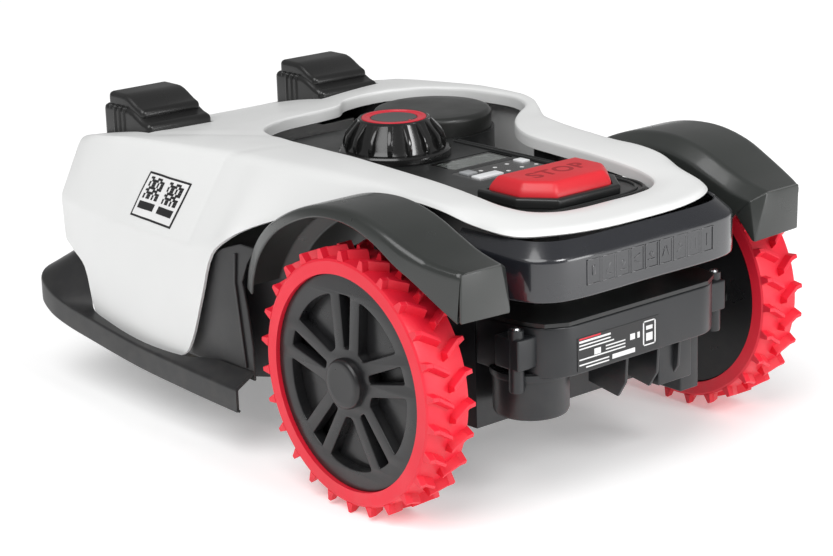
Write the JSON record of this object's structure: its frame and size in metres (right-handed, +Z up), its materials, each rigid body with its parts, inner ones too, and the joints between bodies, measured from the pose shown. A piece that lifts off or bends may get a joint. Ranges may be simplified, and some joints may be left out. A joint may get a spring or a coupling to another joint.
{
  "type": "robotic lawn mower",
  "caption": "Robotic lawn mower with floating cover, lugged rear drive wheels, front casters, height knob, stop button and a pivoting-blade cutting disc.",
  "frame": {"origin": "on the ground, under the middle of the overall box", "axes": "+Z up, -Y towards the nose, +X towards the mower's left side"},
  "size_m": [0.498, 0.733, 0.315],
  "materials": {
    "cover_white": "satin white",
    "trim_black": "satin black",
    "fender_grey": "satin dark grey",
    "chassis_black": "satin black",
    "hub_black": "matte black",
    "tyre_red": "matte red",
    "button_red": "satin red",
    "knob_black": "glossy black",
    "ring_red": "satin red",
    "key_white": "satin",
    "key_grey": "satin",
    "window_glass": "clear",
    "display_grey": "satin",
    "board_green": "satin",
    "label_white": "satin",
    "label_black": "satin",
    "steel": "brushed",
    "brass": "satin",
    "rubber_black": "matte",
    "motor_grey": "satin",
    "ceramic": "matte"
  },
  "bodies": {
    "chassis": {"chassis_tray": "chassis_black", "chassis_lid": "trim_black", "rear_housing": "chassis_black", "battery_pack": "label_black", "battery_door": "chassis_black", "main_board": "board_green", "display_window": "window_glass", "display_module": "display_grey", "keypad_film": "trim_black", "antenna_dome": "trim_black", "antenna_puck": "ceramic", "stop_switch": "trim_black", "gearmotor_left": "motor_grey", "gearmotor_right": "motor_grey", "charging_contacts": "brass", "rating_label": "label_black", "chassis_screws": "steel", "float_posts": "rubber_black", "caster_bushes": "brass"},
    "cover": {"top_cover": "cover_white", "bumper": "trim_black", "side_panel_left": "trim_black", "side_panel_right": "trim_black", "fender_left": "fender_grey", "fender_right": "fender_grey", "tail_band": "trim_black", "sensor_pod_left": "trim_black", "sensor_pod_right": "trim_black", "pod_cap_left": "trim_black", "pod_cap_right": "trim_black", "side_label": "label_white", "float_sockets": "chassis_black"},
    "wheel_left": {"wheel_hub_left": "hub_black", "tyre_left": "tyre_red", "hub_cap_left": "hub_black", "drive_shaft_left": "steel"},
    "wheel_right": {"wheel_hub_right": "hub_black", "tyre_right": "tyre_red", "hub_cap_right": "hub_black", "drive_shaft_right": "steel"},
    "caster_left": {"caster_fork_left": "hub_black", "caster_axle_left": "steel"},
    "caster_right": {"caster_fork_right": "hub_black", "caster_axle_right": "steel"},
    "caster_roll_left": {"caster_wheel_left": "rubber_black"},
    "caster_roll_right": {"caster_wheel_right": "rubber_black"},
    "cutting_lift": {"lift_carriage": "motor_grey", "blade_motor": "motor_grey"},
    "cutting_disc": {"blade_disc": "steel", "blade_screws": "steel"},
    "loose_blade_1": {"blade_1": "steel"},
    "loose_blade_2": {"blade_2": "steel"},
    "loose_blade_3": {"blade_3": "steel"},
    "knob": {"height_knob": "knob_black", "knob_ring": "ring_red"},
    "stop": {"stop_button": "button_red"},
    "key_start": {"start_key": "key_grey"},
    "key_ok": {"ok_key": "key_white"},
    "key_mode": {"mode_key": "key_white"}
  },
  "joints": [
    {"name": "cover_float", "type": "slide", "parent": "chassis", "child": "cover", "axis": [0, 1, 0], "range_m": [-0.004, 0.004], "stiffness_N_per_m": 3000},
    {"name": "wheel_left_spin", "type": "hinge", "parent": "chassis", "child": "wheel_left", "pos_m": [0.22, 0.2125, 0.127], "axis": [1, 0, 0], "continuous": true},
    {"name": "wheel_right_spin", "type": "hinge", "parent": "chassis", "child": "wheel_right", "pos_m": [-0.22, 0.2125, 0.127], "axis": [1, 0, 0], "continuous": true},
    {"name": "caster_left_swivel", "type": "hinge", "parent": "chassis", "child": "caster_left", "pos_m": [0.116, -0.262, 0.12], "axis": [0, 0, 1], "continuous": true},
    {"name": "caster_right_swivel", "type": "hinge", "parent": "chassis", "child": "caster_right", "pos_m": [-0.116, -0.262, 0.12], "axis": [0, 0, 1], "continuous": true},
    {"name": "caster_left_roll", "type": "hinge", "parent": "caster_left", "child": "caster_roll_left", "pos_m": [0.116, -0.242, 0.044], "axis": [1, 0, 0], "continuous": true},
    {"name": "caster_right_roll", "type": "hinge", "parent": "caster_right", "child": "caster_roll_right", "pos_m": [-0.116, -0.242, 0.044], "axis": [1, 0, 0], "continuous": true},
    {"name": "cutting_height", "type": "slide", "parent": "chassis", "child": "cutting_lift", "axis": [0, 0, 1], "range_m": [0, 0.04]},
    {"name": "knob_turn", "type": "hinge", "parent": "chassis", "child": "knob", "pos_m": [0, -0.0015, 0.28], "axis": [0, 0, 1], "range_deg": [0, 270]},
    {"name": "disc_spin", "type": "hinge", "parent": "cutting_lift", "child": "cutting_disc", "pos_m": [0, -0.0015, 0.024], "axis": [0, 0, 1], "continuous": true},
    {"name": "blade_1_swing", "type": "hinge", "parent": "cutting_disc", "child": "loose_blade_1", "pos_m": [0, 0.0905, 0.0206], "axis": [0, 0, 1], "continuous": true},
    {"name": "blade_2_swing", "type": "hinge", "parent": "cutting_disc", "child": "loose_blade_2", "pos_m": [-0.07967, -0.0475, 0.0206], "axis": [0, 0, 1], "continuous": true},
    {"name": "blade_3_swing", "type": "hinge", "parent": "cutting_disc", "child": "loose_blade_3", "pos_m": [0.07967, -0.0475, 0.0206], "axis": [0, 0, 1], "continuous": true},
    {"name": "stop_press", "type": "slide", "parent": "chassis", "child": "stop", "axis": [0, 0, -1], "range_m": [0, 0.004], "stiffness_N_per_m": 1500},
    {"name": "start_key_press", "type": "slide", "parent": "chassis", "child": "key_start", "axis": [0, 0, -1], "range_m": [0, 0.0008], "stiffness_N_per_m": 1200},
    {"name": "ok_key_press", "type": "slide", "parent": "chassis", "child": "key_ok", "axis": [0, 0, -1], "range_m": [0, 0.0008], "stiffness_N_per_m": 1200},
    {"name": "mode_key_press", "type": "slide", "parent": "chassis", "child": "key_mode", "axis": [0, 0, -1], "range_m": [0, 0.0008], "stiffness_N_per_m": 1200}
  ],
  "couplings": [
    {"joint": "cutting_height", "follows": "knob_turn", "m_per_rad": 0.0084}
  ]
}
